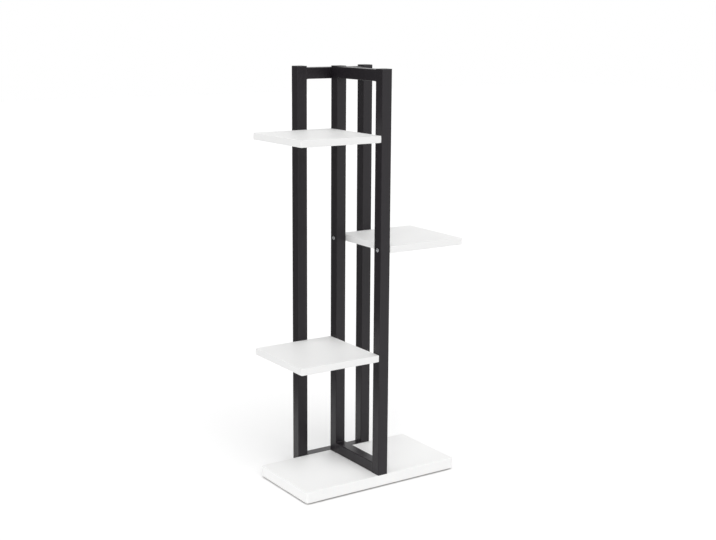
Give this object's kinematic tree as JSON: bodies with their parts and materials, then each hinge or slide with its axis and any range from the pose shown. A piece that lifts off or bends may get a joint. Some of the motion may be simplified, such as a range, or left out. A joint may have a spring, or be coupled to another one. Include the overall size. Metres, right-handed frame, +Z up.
{
  "type": "step shelf",
  "caption": "Free-standing step shelf: white boards hang at staggered heights on both sides of an upright charcoal tube frame that stands on a white base.",
  "frame": {"origin": "on the floor, under the centre of the part's bounding box", "axes": "+Z up, -Y towards the front, +X to the right seen from the front"},
  "size_m": [0.425, 0.227, 0.93],
  "materials": {
    "white_lacquer": "satin white lacquer",
    "powder_coat": "satin charcoal powder coat",
    "black_plastic": "matt",
    "steel": "zinc plated"
  },
  "bodies": {
    "root": {"base_board": "white_lacquer", "lower_left_shelf": "white_lacquer", "right_shelf": "white_lacquer", "upper_left_shelf": "white_lacquer", "front_post": "powder_coat", "centre_rear_post": "powder_coat", "depth_top_rail": "powder_coat", "depth_bottom_rail": "powder_coat", "left_rear_post": "powder_coat", "right_rear_post": "powder_coat", "back_top_rail": "powder_coat", "back_bottom_rail": "powder_coat", "post_end_plugs": "black_plastic", "post_foot_plugs": "black_plastic", "base_glides": "black_plastic", "board_screws": "steel", "base_bolts": "steel", "weld_nuts": "steel"}
  },
  "joints": []
}
